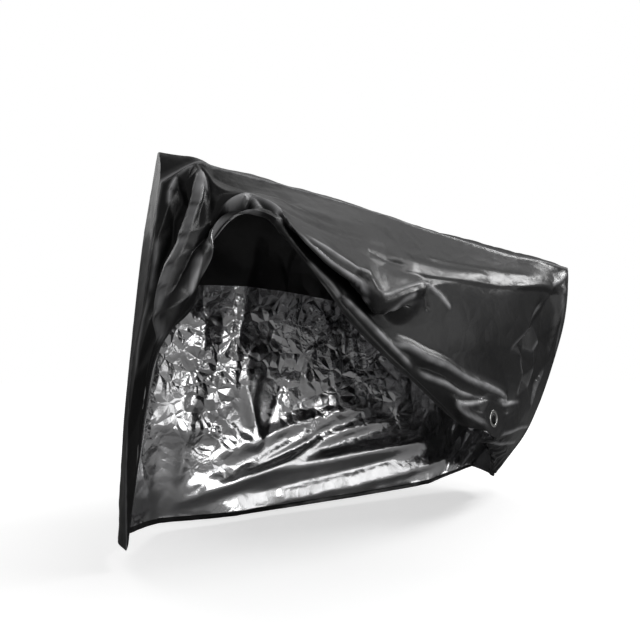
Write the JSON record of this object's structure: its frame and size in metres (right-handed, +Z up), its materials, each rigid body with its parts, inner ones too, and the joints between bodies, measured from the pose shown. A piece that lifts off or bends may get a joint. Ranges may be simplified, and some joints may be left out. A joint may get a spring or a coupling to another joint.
{
  "type": "bicycle cover",
  "caption": "Fitted bicycle cover of black coated cloth, silver inside, with one side hitched up in soft folds and a metal eyelet near the rear hem.",
  "frame": {"origin": "under the top ridge, where the covered machine holds the cover up, about 1.06 m above the floor", "axes": "+X from the front end to the rear end, -Y the side that is hitched up, +Z up"},
  "size_m": [1.8471, 0.6421, 1.139],
  "materials": {
    "coated_cloth": "black coated cloth with a soft gloss",
    "silver_backed_cloth": "crumpled silver coating inside, black outside",
    "eyelet_metal": "bright plated metal"
  },
  "bodies": {
    "root": {"near_side_panel": "coated_cloth", "near_rear_band": "coated_cloth", "far_side_panel": "silver_backed_cloth", "centre_strip": "coated_cloth", "eyelet_ring": "eyelet_metal"}
  },
  "joints": []
}
